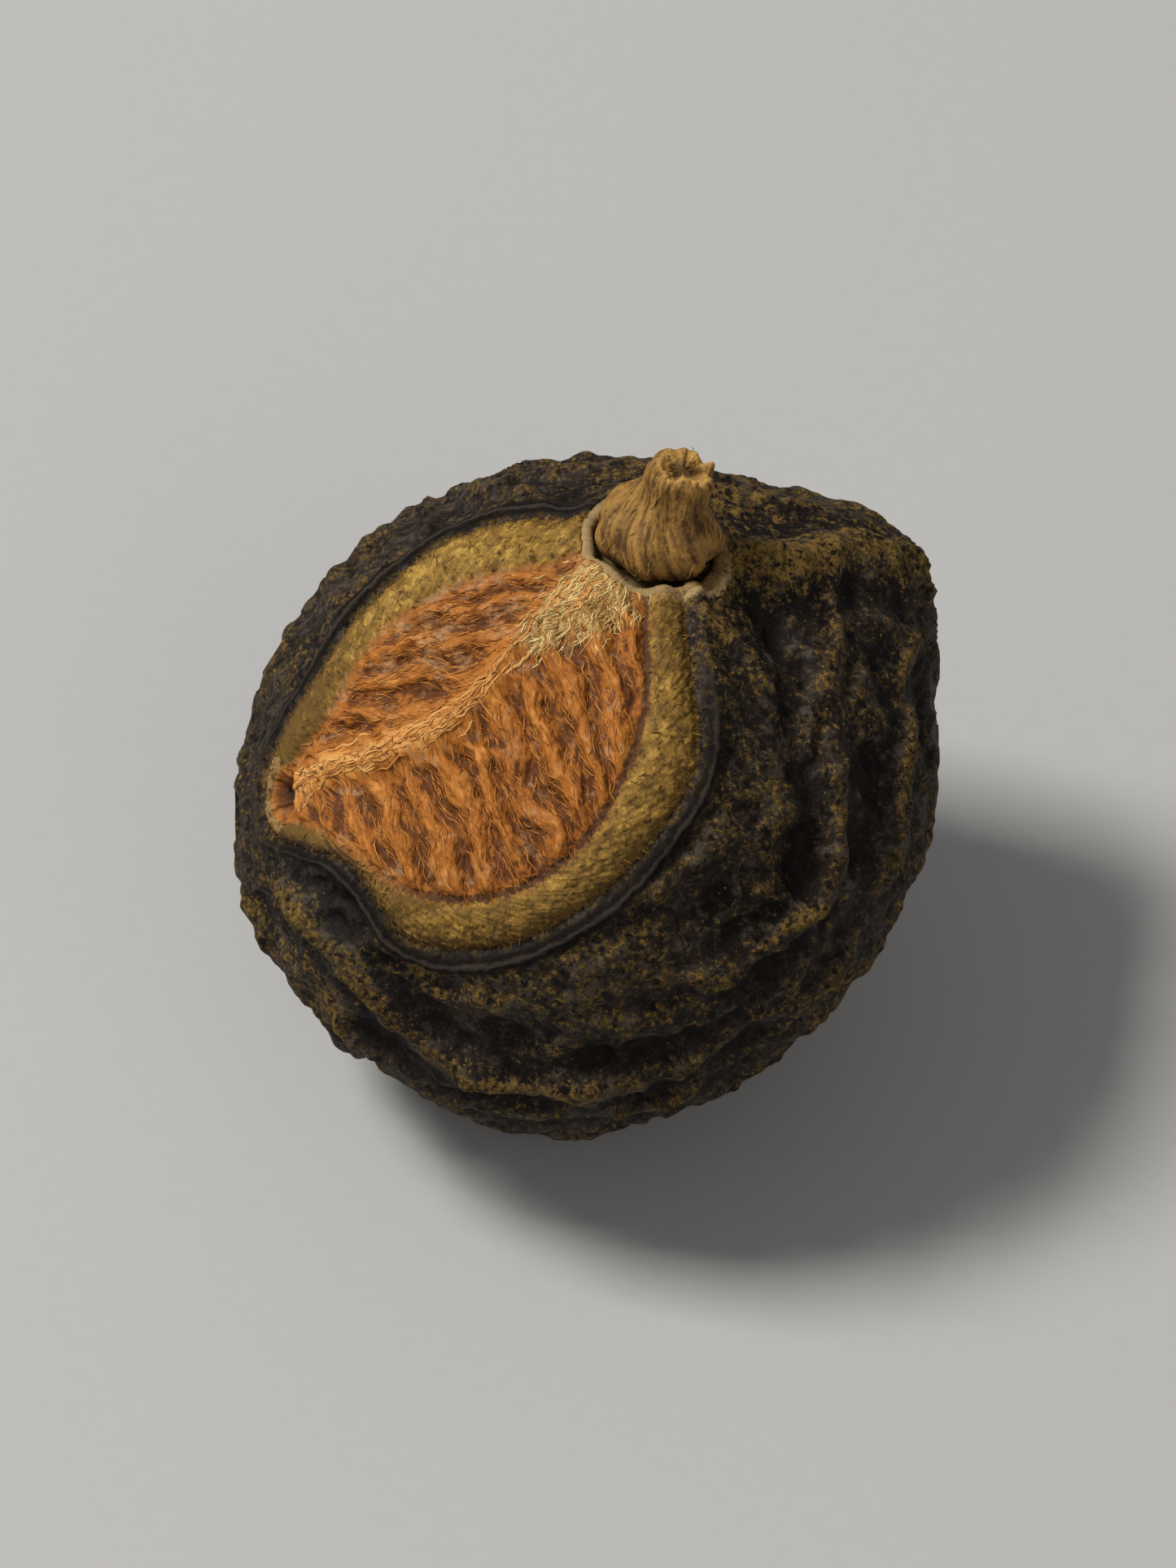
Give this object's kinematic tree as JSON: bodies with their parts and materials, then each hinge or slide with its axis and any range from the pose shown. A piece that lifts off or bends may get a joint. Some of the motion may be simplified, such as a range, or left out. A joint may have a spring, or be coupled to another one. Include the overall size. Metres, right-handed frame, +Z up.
{
  "type": "soapberry",
  "caption": "Dried soapberry lying as picked: a round, wrinkled fruit with a large fibrous scar and the stub of its stalk on top.",
  "frame": {"origin": "on the surface that the fruit lies on, under the middle of its outline", "axes": "+Z up, -Y the side where the scar shows, +X to the right as seen from there"},
  "size_m": [0.0218, 0.0214, 0.0235],
  "materials": {
    "dried_skin": "dried fruit skin, charcoal with olive and mustard mottling; the scar is burnt orange with a mustard border",
    "dry_stalk": "dry tan stalk, ribbed along its length, with a broken end",
    "scar_fibre": "torn dry fibre of the scar, burnt orange with pale crests, cream beside the stalk's socket",
    "scar_border": "rough dry mustard border of the scar"
  },
  "bodies": {
    "root": {"fruit": "dried_skin", "stalk_stub": "dry_stalk"}
  },
  "joints": []
}
